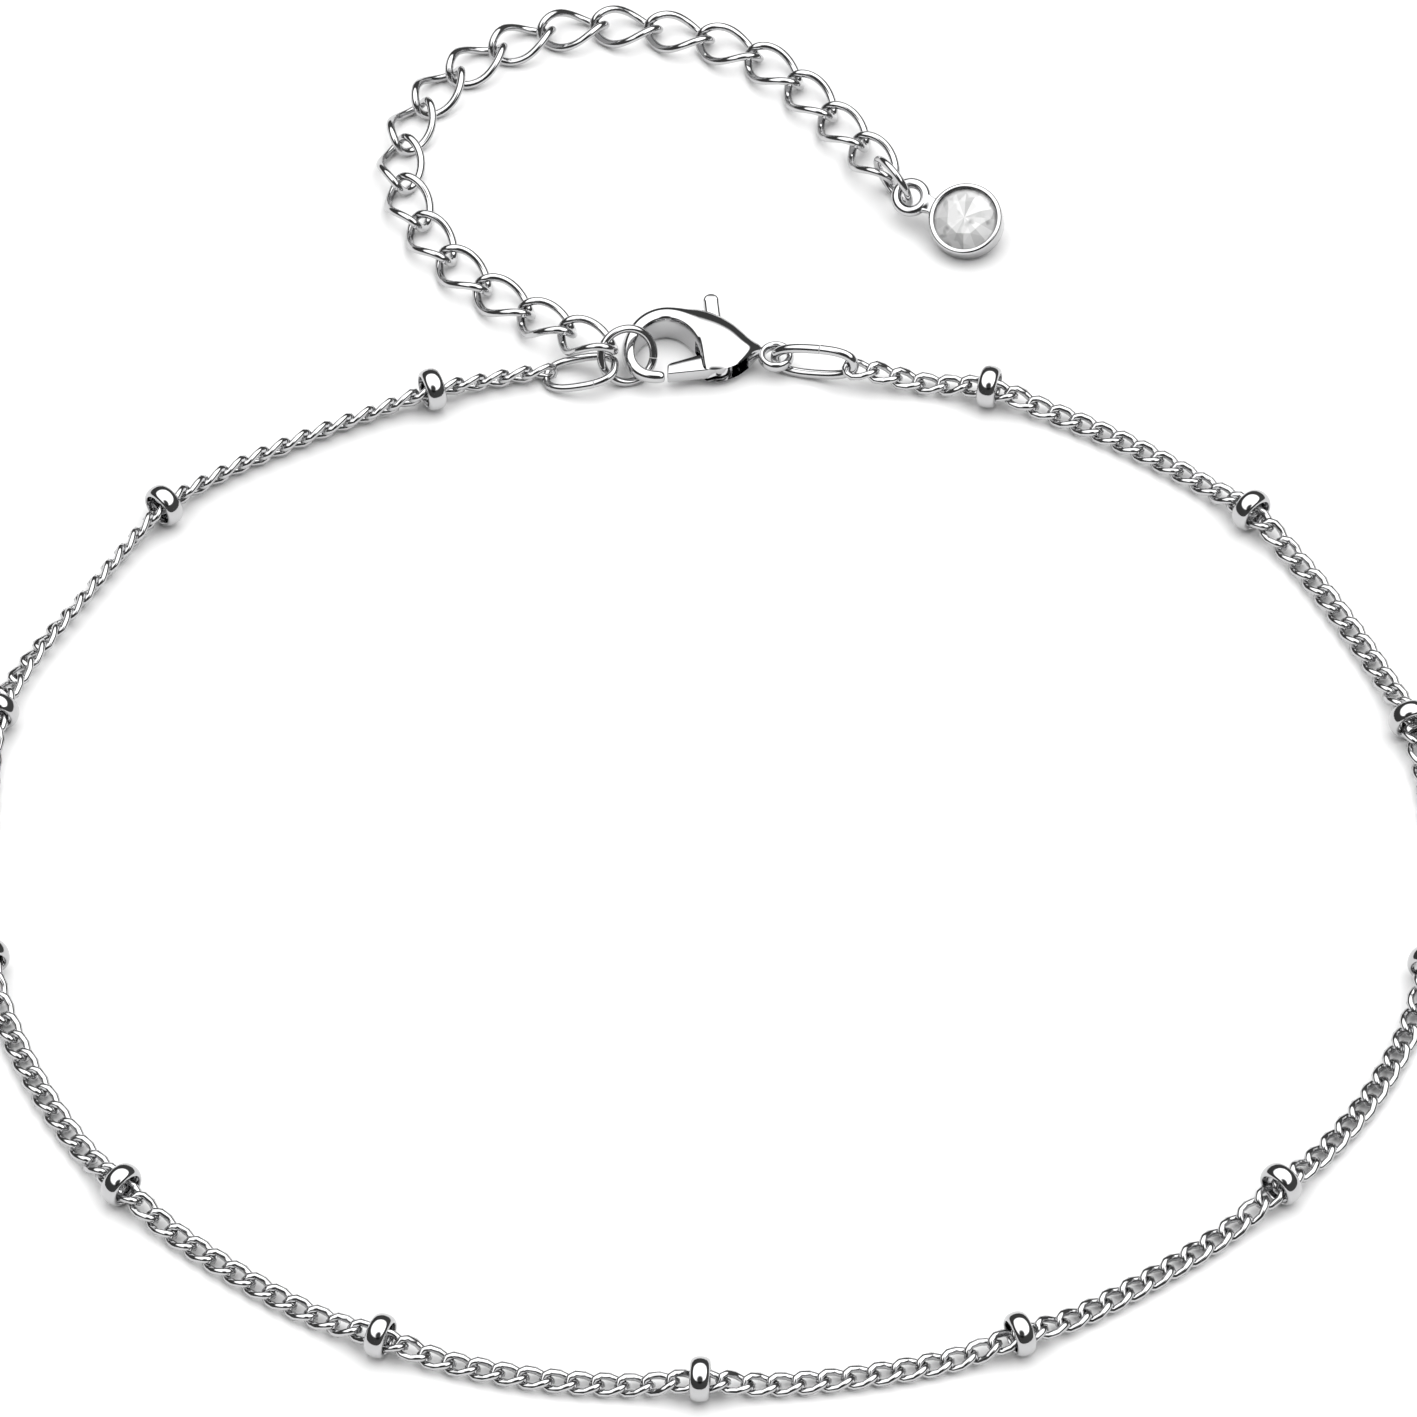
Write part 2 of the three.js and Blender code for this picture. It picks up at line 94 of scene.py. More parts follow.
def makeSky():
    # a white tent over a dark room, which gives polished metal its thin dark lines
    world = bpy.data.worlds.new("studio")
    bpy.context.scene.world = world
    bpy.context.scene.view_settings.view_transform = "Standard"
    world.use_nodes = True
    nodes = world.node_tree.nodes
    links = world.node_tree.links
    nodes.clear()
    direction = nodes.new("ShaderNodeTexCoord")
    split = nodes.new("ShaderNodeSeparateXYZ")
    tilt = nodes.new("ShaderNodeMath")
    tilt.operation = "MULTIPLY_ADD"
    tilt.inputs[1].default_value = studio["lowerBehind"]
    edge = nodes.new("ShaderNodeMapRange")
    edge.inputs["From Min"].default_value = studio["tentFrom"]
    edge.inputs["From Max"].default_value = studio["tentFrom"] + studio["fade"]
    edge.inputs["To Min"].default_value = studio["room"]
    side = nodes.new("ShaderNodeMapRange")
    side.inputs["From Min"].default_value = -1
    side.inputs["To Min"].default_value = 1 - studio["leftShade"]
    towards = nodes.new("ShaderNodeVectorMath")
    towards.operation = "DOT_PRODUCT"
    high = math.radians(cameraSetup["elevation"])
    towards.inputs[1].default_value = (0, -math.cos(high), math.sin(high))
    openingHalf = math.radians(studio["opening"])
    opening = nodes.new("ShaderNodeMapRange")
    opening.inputs["From Min"].default_value = math.cos(openingHalf)
    opening.inputs["From Max"].default_value = math.cos(openingHalf * studio["openingDark"])
    opening.inputs["To Min"].default_value = 1
    opening.inputs["To Max"].default_value = studio["room"]
    product = []
    for i in range(2):
        step = nodes.new("ShaderNodeMath")
        step.operation = "MULTIPLY"
        product.append(step)
    background = nodes.new("ShaderNodeBackground")
    output = nodes.new("ShaderNodeOutputWorld")
    strength = nodes.new("ShaderNodeMath")
    strength.operation = "MULTIPLY"
    strength.inputs[1].default_value = studio["tent"]
    links.new(direction.outputs["Generated"], split.inputs[0])
    links.new(direction.outputs["Generated"], towards.inputs[0])
    links.new(split.outputs["Y"], tilt.inputs[0])
    links.new(split.outputs["Z"], tilt.inputs[2])
    links.new(tilt.outputs[0], edge.inputs["Value"])
    links.new(split.outputs["X"], side.inputs["Value"])
    links.new(towards.outputs["Value"], opening.inputs["Value"])
    links.new(edge.outputs["Result"], product[0].inputs[0])
    links.new(side.outputs["Result"], product[0].inputs[1])
    links.new(product[0].outputs[0], product[1].inputs[0])
    links.new(opening.outputs["Result"], product[1].inputs[1])
    links.new(product[1].outputs[0], strength.inputs[0])
    links.new(strength.outputs[0], background.inputs["Strength"])
    links.new(background.outputs[0], output.inputs["Surface"])


def makeTable():
    bm = bmesh.new()
    bmesh.ops.create_grid(bm, x_segments=1, y_segments=1, size=studio["tableHalf"])
    mesh = bpy.data.meshes.new("table")
    bm.to_mesh(mesh)
    bm.free()
    table = bpy.data.objects.new("table", mesh)
    bpy.context.collection.objects.link(table)
    paper = bpy.data.materials.new("white_paper")
    paper.use_nodes = True
    shader = paper.node_tree.nodes["Principled BSDF"]
    shader.inputs["Base Color"].default_value = studio["paper"] + (1,)
    shader.inputs["Roughness"].default_value = studio["paperRoughness"]
    shader.inputs["Specular IOR Level"].default_value = studio["paperSheen"]
    mesh.materials.append(paper)


# smoothest and roughest scale a metal's own roughness, and rippleShare the fineness of the grain
polish = {
    "grain": 2600.0, "smoothest": 0.6, "roughest": 1.5,
    "rippleShare": 0.35, "rippleHeight": 0.05,
}


def polishedMetal(name, colour, roughness, relief=0.04):
    # roughness wanders with the polish, and a faint ripple breaks up the reflections
    material = bpy.data.materials.new(name)
    material.use_nodes = True
    nodes = material.node_tree.nodes
    links = material.node_tree.links
    shader = nodes["Principled BSDF"]
    shader.inputs["Base Color"].default_value = colour + (1,)
    shader.inputs["Metallic"].default_value = 1.0
    where = nodes.new("ShaderNodeTexCoord")
    grain = nodes.new("ShaderNodeTexNoise")
    grain.inputs["Scale"].default_value = polish["grain"]
    grain.inputs["Detail"].default_value = 3.0
    spread = nodes.new("ShaderNodeMapRange")
    spread.inputs["To Min"].default_value = roughness * polish["smoothest"]
    spread.inputs["To Max"].default_value = roughness * polish["roughest"]
    ripple = nodes.new("ShaderNodeTexNoise")
    ripple.inputs["Scale"].default_value = polish["grain"] * polish["rippleShare"]
    ripple.inputs["Detail"].default_value = 1.0
    bump = nodes.new("ShaderNodeBump")
    bump.inputs["Strength"].default_value = relief
    bump.inputs["Distance"].default_value = polish["rippleHeight"] * mm
    links.new(where.outputs["Object"], grain.inputs["Vector"])
    links.new(where.outputs["Object"], ripple.inputs["Vector"])
    links.new(grain.outputs["Fac"], spread.inputs["Value"])
    links.new(spread.outputs["Result"], shader.inputs["Roughness"])
    links.new(ripple.outputs["Fac"], bump.inputs["Height"])
    links.new(bump.outputs["Normal"], shader.inputs["Normal"])
    return material


# the stone's colour is painted light and shade: facet wedges, and grey flecks in patches as painted
# dark reflections
stoneLook = {
    "roughness": 0.03, "ior": 1.8, "clear": 0.3,
    "wedges": 16, "darkestWedge": 0.5,
    "fleckGrain": 1500, "fleckReach": 0.5, "fleckDark": 0.2, "fleckLight": 0.75,
    "patchGrain": 700, "patchFrom": 0.5, "patchTo": 0.55,
}


def clearStone(name, place):
    # painted light and shade: wedges of light and shade round the stone's middle, as its facets
    # show them, with grey flecks as painted dark reflections
    material = bpy.data.materials.new(name)
    material.use_nodes = True
    nodes = material.node_tree.nodes
    links = material.node_tree.links
    shader = nodes["Principled BSDF"]
    shader.inputs["Roughness"].default_value = stoneLook["roughness"]
    shader.inputs["IOR"].default_value = stoneLook["ior"]
    shader.inputs["Transmission Weight"].default_value = stoneLook["clear"]
    where = nodes.new("ShaderNodeTexCoord")
    inStone = nodes.new("ShaderNodeMapping")
    inStone.vector_type = "TEXTURE"
    inStone.inputs["Location"].default_value = place.translation
    inStone.inputs["Rotation"].default_value = place.to_euler()
    # painted facet light and shade, one brightness for each wedge round the middle
    around = nodes.new("ShaderNodeTexGradient")
    around.gradient_type = "RADIAL"
    wedge = nodes.new("ShaderNodeMath")
    wedge.operation = "MULTIPLY"
    wedge.inputs[1].default_value = stoneLook["wedges"]
    whole = nodes.new("ShaderNodeMath")
    whole.operation = "FLOOR"
    shade = nodes.new("ShaderNodeTexWhiteNoise")
    shade.noise_dimensions = "1D"
    lighter = nodes.new("ShaderNodeMapRange")
    lighter.inputs["To Min"].default_value = stoneLook["darkestWedge"]
    # grey flecks, shown in noisy patches: painted dark reflections
    reflectionFlecks = nodes.new("ShaderNodeTexVoronoi")
    reflectionFlecks.inputs["Scale"].default_value = stoneLook["fleckGrain"]
    reflectionFleckShade = nodes.new("ShaderNodeMapRange")
    reflectionFleckShade.inputs["From Max"].default_value = stoneLook["fleckReach"]
    reflectionFleckShade.inputs["To Min"].default_value = stoneLook["fleckDark"]
    reflectionFleckShade.inputs["To Max"].default_value = stoneLook["fleckLight"]
    reflectionPatches = nodes.new("ShaderNodeTexNoise")
    reflectionPatches.inputs["Scale"].default_value = stoneLook["patchGrain"]
    reflectionPatches.inputs["Detail"].default_value = 2
    reflectionPatchEdge = nodes.new("ShaderNodeMapRange")
    reflectionPatchEdge.inputs["From Min"].default_value = stoneLook["patchFrom"]
    reflectionPatchEdge.inputs["From Max"].default_value = stoneLook["patchTo"]
    blend = nodes.new("ShaderNodeMix")
    links.new(where.outputs["Object"], inStone.inputs["Vector"])
    links.new(inStone.outputs["Vector"], around.inputs["Vector"])
    links.new(inStone.outputs["Vector"], reflectionFlecks.inputs["Vector"])
    links.new(inStone.outputs["Vector"], reflectionPatches.inputs["Vector"])
    links.new(around.outputs["Fac"], wedge.inputs[0])
    links.new(wedge.outputs[0], whole.inputs[0])
    links.new(whole.outputs[0], shade.inputs["W"])
    links.new(shade.outputs["Value"], lighter.inputs["Value"])
    links.new(reflectionFlecks.outputs["Distance"], reflectionFleckShade.inputs["Value"])
    links.new(reflectionPatches.outputs["Fac"], reflectionPatchEdge.inputs["Value"])
    links.new(reflectionPatchEdge.outputs["Result"], blend.inputs["Factor"])
    links.new(lighter.outputs["Result"], blend.inputs[2])
    links.new(reflectionFleckShade.outputs["Result"], blend.inputs[3])
    links.new(blend.outputs[0], shader.inputs["Base Color"])
    return material


silver = (0.5, 0.5, 0.505)
chainMetal = polishedMetal("chain_polish", silver, 0.10)
beadMetal = polishedMetal("bead_polish", silver, 0.07)
wireMetal = polishedMetal("wire_polish", silver, 0.08)
claspMetal = polishedMetal("clasp_polish", silver, 0.06, relief=0.03)
charmMetal = polishedMetal("charm_polish", silver, 0.06, relief=0.03)
pinSteel = polishedMetal("pin_steel", (0.7, 0.7, 0.72), 0.25)


def showPiece(piece, material, nodes, body="anklet", sharpFrom=None):
    mesh = piece.data
    mesh.materials.clear()
    mesh.materials.append(material)
    mesh.shade_smooth()
    if sharpFrom:
        mesh.set_sharp_from_angle(angle=math.radians(sharpFrom))
    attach(piece, body)
    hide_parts(*nodes)


def meshPiece(name, bm, place=Matrix.Identity(4)):
    mesh = bpy.data.meshes.new(name)
    bmesh.ops.recalc_face_normals(bm, faces=bm.faces)
    bm.to_mesh(mesh)
    bm.free()
    mesh.transform(place)
    piece = bpy.data.objects.new(name, mesh)
    bpy.context.collection.objects.link(piece)
    return piece


def combine(piece, tools, levels=0):
    # joins and cuts with the tools in turn, then keeps the result as the piece's own mesh
    if levels:
        rounded = piece.modifiers.new("rounded", "SUBSURF")
        rounded.levels = levels
        rounded.render_levels = levels
    for tool, operation in tools:
        change = piece.modifiers.new(operation.lower(), "BOOLEAN")
        change.operation = operation
        change.solver = "EXACT"
        change.object = tool
    graph = bpy.context.evaluated_depsgraph_get()
    mesh = bpy.data.meshes.new_from_object(piece.evaluated_get(graph))
    piece.modifiers.clear()
    piece.data = mesh
    for tool, _ in tools:
        bpy.data.objects.remove(tool)


def wireLoop(length, width, wire, steps, sides, twist=0.0, fullness=2.0, slit=0.0, slitAt=0.0):
    # a circle of wire spun into a ring, then pressed to an oval and twisted end against end
    halfLength = (length - wire) / 2 * mm
    halfWidth = (width - wire) / 2 * mm
    slitAngle = slit * mm / halfLength
    bm = bmesh.new()
    bmesh.ops.create_circle(bm, segments=sides, radius=wire / 2 * mm)
    bmesh.ops.rotate(bm, verts=bm.verts, matrix=Matrix.Rotation(math.pi / 2, 3, "X"))
    bmesh.ops.translate(bm, verts=bm.verts, vec=(halfLength, 0, 0))
    start = math.radians(slitAt) + slitAngle / 2
    bmesh.ops.rotate(bm, verts=bm.verts, matrix=Matrix.Rotation(start, 3, "Z"))
    bmesh.ops.spin(bm, geom=bm.verts[:] + bm.edges[:], axis=(0, 0, 1), steps=steps,
                   angle=2 * math.pi - slitAngle, use_merge=slit == 0)
    power = 2 / fullness
    for vert in bm.verts:
        angle = math.atan2(vert.co.y, vert.co.x)
        aside = math.hypot(vert.co.x, vert.co.y) - halfLength
        c, s = math.cos(angle), math.sin(angle)
        point = Vector((halfLength * math.copysign(abs(c) ** power, c),
                        halfWidth * math.copysign(abs(s) ** power, s), 0))
        out = Vector((math.copysign(abs(c) ** (2 - power), c) / halfLength,
                      math.copysign(abs(s) ** (2 - power), s) / halfWidth, 0)).normalized()
        roll = Matrix.Rotation(-twist * point.x / halfLength, 3, "X")
        vert.co = roll @ (point + out * aside + Vector((0, 0, vert.co.z)))
    if slit:
        ends = [edge for edge in bm.edges if edge.is_boundary]
        bmesh.ops.holes_fill(bm, edges=ends, sides=sides)
    return bm


def smoothRoute(points, perSpan=24):
    # the same rounded route through its points as the solid's
    held = [2 * points[0] - points[1]] + points + [2 * points[-1] - points[-2]]
    route = []
    for a, b, c, d in zip(held, held[1:], held[2:], held[3:]):
        before, span, after = (math.sqrt((q - p).length) for p, q in ((a, b), (b, c), (c, d)))
        leave = ((b - a) / before - (c - a) / (before + span) + (c - b) / span) * span
        arrive = ((c - b) / span - (d - b) / (span + after) + (d - c) / after) * span
        for i in range(perSpan):
            t = i / perSpan
            route.append(b * (2 * t ** 3 - 3 * t ** 2 + 1) + leave * (t ** 3 - 2 * t ** 2 + t)
                         + c * (3 * t ** 2 - 2 * t ** 3) + arrive * (t ** 3 - t ** 2))
    route.append(points[-1])
    return route


def measureRoute(route):
    lengths = [0.0]
    for a, b in zip(route, route[1:]):
        lengths.append(lengths[-1] + (b - a).length)
    return lengths


def alongRoute(route, lengths, distance):
    # the point at a distance along the route, past its ends too
    last = len(route) - 2
    low, high = 0, last
    while low < high:
        middle = (low + high + 1) // 2
        if lengths[middle] <= distance:
            low = middle
        else:
            high = middle - 1
    share = (distance - lengths[low]) / (lengths[low + 1] - lengths[low])
    return route[low].lerp(route[low + 1], share) if 0 <= share <= 1 else (
        route[low] + (route[low + 1] - route[low]) * share)


def smoothStep(share):
    held = min(max(share, 0.0), 1.0)
    return held * held * (3 - 2 * held)


def standAlong(start, end, roll=0.0):
    # X runs from start to end, Z stays up, then the roll turns it about X
    along = (end - start).normalized()
    side = Vector((0, 0, 1)).cross(along).normalized()
    up = along.cross(side)
    basis = Matrix((along, side, up)).transposed().to_4x4()
    return Matrix.Translation((start + end) / 2) @ basis @ Matrix.Rotation(roll, 4, "X")


def addCopy(bm, shape, place):
    first = len(bm.verts)
    bm.from_mesh(shape)
    bm.verts.ensure_lookup_table()
    bmesh.ops.transform(bm, matrix=place, verts=bm.verts[first:])


chainBuild = {
    "width": 1.44,
    "wire": 0.42,
    "slack": 0.03,
    "fullness": 2.2,
    "steps": 12,
    "sides": 6,
    "linksPerBead": 13,
    "twist": 45,
    "rest": 0.52,          # height of a flat link's centre
    "standingRest": 0.75,  # height where the chain lies on its edge
    "inBead": 1.0,
    "fallsIn": 3.4,        # way from a bead at which the chain is down on the table
    "inRing": 1.3,         # height where its last link hangs in the clasp's ring
    "risesIn": 4.5,
    "beadHalf": 0.6,       # way from a bead's middle over which the chain stays raised
    "standsTo": 14,        # the chain lies on its edge up to this far before the third bead
    "liesDownIn": 20,      # and then turns flat over this way
    "standingRoll": 68,
    "wobble": 7,
    "wobbleStep": 0.35,
}
beadNames = ["bead_%02d" % number for number in range(1, 14)]
chainPoints = [
    (-8.52, 22.75), (-9.6, 22.6), (-14.1, 21.4), (-21.6, 18.1), (-28.4, 13.7), (-33.2, 7.0),
    (-37.2, -0.2), (-37.86, -8.4), (-37.5, -16.6), (-34.9, -24.4), (-30.5, -31.4),
    (-24.4, -36.9), (-17.3, -41.2), (-9.4, -43.6), (-1.2, -44.2), (7.0, -43.7),
    (15.0, -41.7), (22.2, -37.7), (28.6, -32.6), (33.9, -26.2), (37.1, -18.7),
    (38.04, -10.5), (37.1, -2.3), (33.9, 5.2), (29.5, 12.1), (23.1, 17.4),
    (15.8, 21.1), (9.2, 22.4), (7.58, 22.5),
]


def beadMiddle(name):
    low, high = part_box(name)
    return (low + high) / 2


def onTable(point):
    return Vector((point.x, point.y, 0))


def makeChain():
    route = smoothRoute([spot(x, y) for x, y in chainPoints])
    lengths = measureRoute(route)
    beads = []
    for name in beadNames:
        ground = onTable(beadMiddle(name))
        nearest = min(range(len(route)), key=lambda i: (route[i] - ground).length)
        beads.append(lengths[nearest])
    total = lengths[-1]
    spacing = (beads[-1] - beads[0]) / (len(beads) - 1)
    count = round(total / spacing * chainBuild["linksPerBead"])
    pitch = total / count
    link = wireLoop(pitch / mm + 2 * chainBuild["wire"] + chainBuild["slack"], chainBuild["width"],
                    chainBuild["wire"], chainBuild["steps"], chainBuild["sides"],
                    math.radians(chainBuild["twist"]), fullness=chainBuild["fullness"])
    shape = bpy.data.meshes.new("link")
    link.to_mesh(shape)
    link.free()

    def lift(distance):
        fall = min(abs(distance - bead) for bead in beads) / mm - chainBuild["beadHalf"]
        return 1 - smoothStep(fall / (chainBuild["fallsIn"] - chainBuild["beadHalf"]))

    def lean(distance):
        # how far the chain lies on its edge, as it does from the clasp's hook to the third bead
        past = (distance - beads[2]) / mm
        return 1 - smoothStep((past + chainBuild["standsTo"]) / chainBuild["liesDownIn"])

    bm = bmesh.new()
    for i in range(count):
        ends = []
        for distance in (i * pitch, (i + 1) * pitch):
            point = alongRoute(route, lengths, distance).copy()
            stand = chainBuild["standingRest"] - chainBuild["rest"]
            rest = chainBuild["rest"] + stand * lean(distance)
            height = rest + max(chainBuild["inBead"] - rest, 0) * lift(distance)
            rise = 1 - smoothStep((total - distance) / mm / chainBuild["risesIn"])
            height += (chainBuild["inRing"] - height) * rise
            point.z = height * mm
            ends.append(point)
        where = Vector((i * chainBuild["wobbleStep"], 4.7, 0))
        wobble = noise.noise(where) * chainBuild["wobble"]
        roll = math.radians(wobble + chainBuild["standingRoll"] * lean((i + 0.5) * pitch))
        addCopy(bm, shape, standAlong(ends[0], ends[1], roll))
    bpy.data.meshes.remove(shape)
    chain = meshPiece("fine_curb_chain", bm)
    showPiece(chain, chainMetal, ["curb_chain"])
    print("chain:", count, "links, pitch", round(pitch / mm, 3), "mm")


beadBuild = {
    "diameter": 2.34, "hole": 1.62, "width": 1.04,
    "straight": 0.22,  # share of the wall that is nearly straight along the hole
    "skew": 10,
    "segments": 20, "steps": 40,
}


def makeBeads():
    wall = (beadBuild["diameter"] - beadBuild["hole"]) / 2
    straight = beadBuild["straight"]
    route = smoothRoute([spot(x, y) for x, y in chainPoints])
    for number, name in enumerate(beadNames):
        middle = beadMiddle(name)
        ground = onTable(middle)
        nearest = min(range(1, len(route) - 1), key=lambda i: (route[i] - ground).length)
        along = route[nearest + 1] - route[nearest - 1]
        heading = math.atan2(along.y, along.x)
        bm = bmesh.new()
        bmesh.ops.create_circle(bm, segments=beadBuild["segments"], radius=1)
        for vert in bm.verts:
            # well rounded outside, nearly straight along the hole
            c, s = vert.co.x, vert.co.y
            out = straight + (1 - straight) * c if c > 0 else straight - straight * abs(c) ** 0.5
            vert.co.x = (beadBuild["hole"] / 2 + wall * out) * mm
            vert.co.y = s * beadBuild["width"] / 2 * mm
        bmesh.ops.spin(bm, geom=bm.verts[:] + bm.edges[:], axis=(0, 1, 0),
                       steps=beadBuild["steps"], angle=2 * math.pi, use_merge=True)
        skew = math.radians(beadBuild["skew"]) * noise.noise(Vector((number * 1.7, 0.3, 0)))
        place = (Matrix.Translation(middle)
                 @ Matrix.Rotation(heading - math.pi / 2 + skew, 4, "Z"))
        bead = meshPiece("ring_" + name, bm, place)
        showPiece(bead, beadMetal, [name])
    print("beads:", len(beadNames))


ringBuild = {
    "jump_ring_chain_end": {"length": 4.334, "width": 2.495, "wire": 0.45, "slitAt": -70,
                            "at": (-6.904, 22.653, 0.806), "turn": (0, -17.44, -3.9)},
    "joining_ring": {"length": 3.412, "width": 3.412, "wire": 0.46, "slitAt": -20, "fullness": 2,
                     "at": (-4.383, 23.321, 1.42), "turn": (53.72, 0, 20.27)},
    "jump_ring_clasp": {"length": 4.96, "width": 2.25, "wire": 0.52, "slitAt": 83,
                        "at": (5.733, 23.023, 1.261), "turn": (80.6, -10.9, -14.5)},
}
charmRing = {"diameter": 3.32, "wire": 0.42, "slitAt": 200, "at": (10.1, 35.65, 1.63),
             "normal": (-0.816, -0.581, -0.208)}
ringWire = {"steps": 64, "sides": 16, "slit": 0.05, "fullness": 2.6, "sharpFrom": 50}


def makeRings():
    for name, ring in ringBuild.items():
        bm = wireLoop(ring["length"], ring["width"], ring["wire"], ringWire["steps"],
                      ringWire["sides"], fullness=ring.get("fullness", ringWire["fullness"]),
                      slit=ringWire["slit"], slitAt=ring["slitAt"])
        piece = meshPiece("wire_" + name, bm, turned(ring["at"], ring["turn"]))
        showPiece(piece, wireMetal, [name], sharpFrom=ringWire["sharpFrom"])
    bm = wireLoop(charmRing["diameter"], charmRing["diameter"], charmRing["wire"],
                  ringWire["steps"], ringWire["sides"], slit=ringWire["slit"],
                  slitAt=charmRing["slitAt"])
    normal = Vector(charmRing["normal"]).normalized()
    place = (Matrix.Translation(spot(*charmRing["at"]))
             @ Vector((0, 0, 1)).rotation_difference(normal).to_matrix().to_4x4())
    piece = meshPiece("wire_charm_jump_ring", bm, place)
    showPiece(piece, wireMetal, ["charm_jump_ring"], sharpFrom=ringWire["sharpFrom"])
    print("rings:", len(ringBuild) + 1)


extenderBuild = {"count": 19, "width": 2.7, "wire": 0.46, "gap": 0.22, "twist": 45,
                 "steps": 48, "sides": 12}
extenderPoints = [
    (-5.464, 23.171, 2.198), (-7.585, 24.911, 1.485), (-9.914, 26.86, 0.791),
    (-13.15, 29.5, 0.76), (-15.7, 33.05, 0.76), (-17.05, 37.7, 0.76), (-15.8, 41.9, 0.76),
    (-13.0, 45.2, 0.76), (-8.1, 47.7, 0.76), (-2.3, 47.53, 0.76), (3.18, 45.2, 0.76),
    (6.6, 41.25, 0.78), (8.3, 38.83, 1.05), (9.82, 36.36, 1.25),
]


def makeExtender():
    route = smoothRoute([spot(*point) for point in extenderPoints])
    lengths = measureRoute(route)
    step = lengths[-1] / extenderBuild["count"]
    joints = [alongRoute(route, lengths, i * step) for i in range(extenderBuild["count"] + 1)]
    for i in range(extenderBuild["count"]):
        pitch = (joints[i + 1] - joints[i]).length / mm
        length = pitch + 2 * extenderBuild["wire"] + extenderBuild["gap"]
        bare = length - extenderBuild["wire"]
        bm = wireLoop(length, extenderBuild["width"], extenderBuild["wire"],
                      extenderBuild["steps"], extenderBuild["sides"],
                      math.radians(extenderBuild["twist"]) * bare / pitch)
        name = "extender_link_%02d" % (i + 1)
        link = meshPiece("curb_" + name, bm, standAlong(joints[i], joints[i + 1]))
        showPiece(link, wireMetal, [name])
    print("extender:", extenderBuild["count"], "links, pitch", round(step / mm, 3), "mm")


claspBuild = {
    "length": 9.4, "width": 4.9, "thickness": 2.0, "at": (0, 24.0, 1.0),
    "slot": 1.0, "pin": 0.44, "pinLength": 1.24, "pinGap": 0.12,
    "pivot": (0.0585, -0.184), "hub": 0.125, "knob": (0.0149, 0.69), "knobWidth": 0.86,
    "eye": 1.95, "eyeWall": 0.42, "eyeHeight": 0.62, "eyeInset": 0.08, "eyeAside": -0.4,
    "pocketSpare": 0.2, "leverPlay": 0.2, "stemHalf": 0.4, "boreLength": 2,
    "leverEdge": 0.09, "hubEdge": 0.08, "knobEdge": 0.14,
}
castLoop = {"steps": 48, "sides": 16}
# outer edge, inner edge and thickness of the clasp's body from its neck to the hook's tip, as
# shares of its length, width and thickness
claspSections = [
    (0.31, 0.05, 0.31, -0.05, 0.3), (0.279, 0.092, 0.279, -0.092, 0.45),
    (0.234, 0.148, 0.245, -0.194, 0.7), (0.16, 0.3, 0.177, -0.345, 0.9),
    (0.078, 0.429, 0.09, -0.424, 0.98), (0.011, 0.5, 0.011, -0.449, 1),
    (-0.032, 0.531, -0.034, -0.41, 1), (-0.069, 0.54, -0.038, -0.204, 1),
    (-0.106, 0.525, -0.06, 0, 1), (-0.149, 0.52, -0.106, 0.163, 1),
    (-0.207, 0.527, -0.176, 0.296, 0.98), (-0.277, 0.525, -0.255, 0.331, 0.96),
    (-0.356, 0.469, -0.324, 0.276, 0.95), (-0.431, 0.347, -0.383, 0.163, 0.9),
    (-0.486, 0.184, -0.414, 0.051, 0.76), (-0.506, 0.02, -0.423, -0.061, 0.6),
    (-0.497, -0.143, -0.418, -0.163, 0.48), (-0.467, -0.29, -0.399, -0.235, 0.4),
    (-0.41, -0.4, -0.358, -0.312, 0.36), (-0.33, -0.449, -0.305, -0.33, 0.36),
    (-0.262, -0.445, -0.262, -0.335, 0.34), (-0.25, -0.42, -0.25, -0.36, 0.2),
]
slotOutline = [
    (-0.13, -0.57), (0.23, -0.57), (0.23, -0.2), (0.135, -0.02), (0.2, 0.306),
    (0.25, 0.65), (-0.045, 0.65), (-0.045, 0.1), (-0.08, 0.05), (-0.15, 0.03),
]
gateOutline = [
    (-0.236, -0.4), (0, -0.34), (0.0585, -0.29), (0.0585, -0.184), (0, -0.08),
    (-0.216, -0.235), (-0.236, -0.265),
]


def claspPoint(along, across):
    return Vector((along * claspBuild["length"], across * claspBuild["width"], 0)) * mm


def roundEdges(bm, edges, width):
    bmesh.ops.bevel(bm, geom=edges, offset=width * mm, offset_type="OFFSET", affect="EDGES",
                    segments=3, profile=0.5, material=-1)


def plate(outline, thickness, bevel=0.0):
    bm = bmesh.new()
    face = bm.faces.new([bm.verts.new(point) for point in outline])
    raised = bmesh.ops.extrude_face_region(bm, geom=[face])["geom"]
    bmesh.ops.translate(bm, verts=[v for v in raised if isinstance(v, bmesh.types.BMVert)],
                        vec=(0, 0, thickness * mm))
    bmesh.ops.translate(bm, verts=bm.verts, vec=(0, 0, -thickness / 2 * mm))
    if bevel:
        roundEdges(bm, bm.edges[:], bevel)
    return bm


def rod(diameter, length, at, segments=32, bevel=0.0):
    bm = bmesh.new()
    bmesh.ops.create_cone(bm, cap_ends=True, segments=segments, radius1=diameter / 2 * mm,
                          radius2=diameter / 2 * mm, depth=length * mm)
    if bevel:
        rims = [edge for edge in bm.edges if abs(edge.verts[0].co.z - edge.verts[1].co.z) < 1e-7]
        roundEdges(bm, rims, bevel)
    bmesh.ops.translate(bm, verts=bm.verts, vec=at)
    return bm


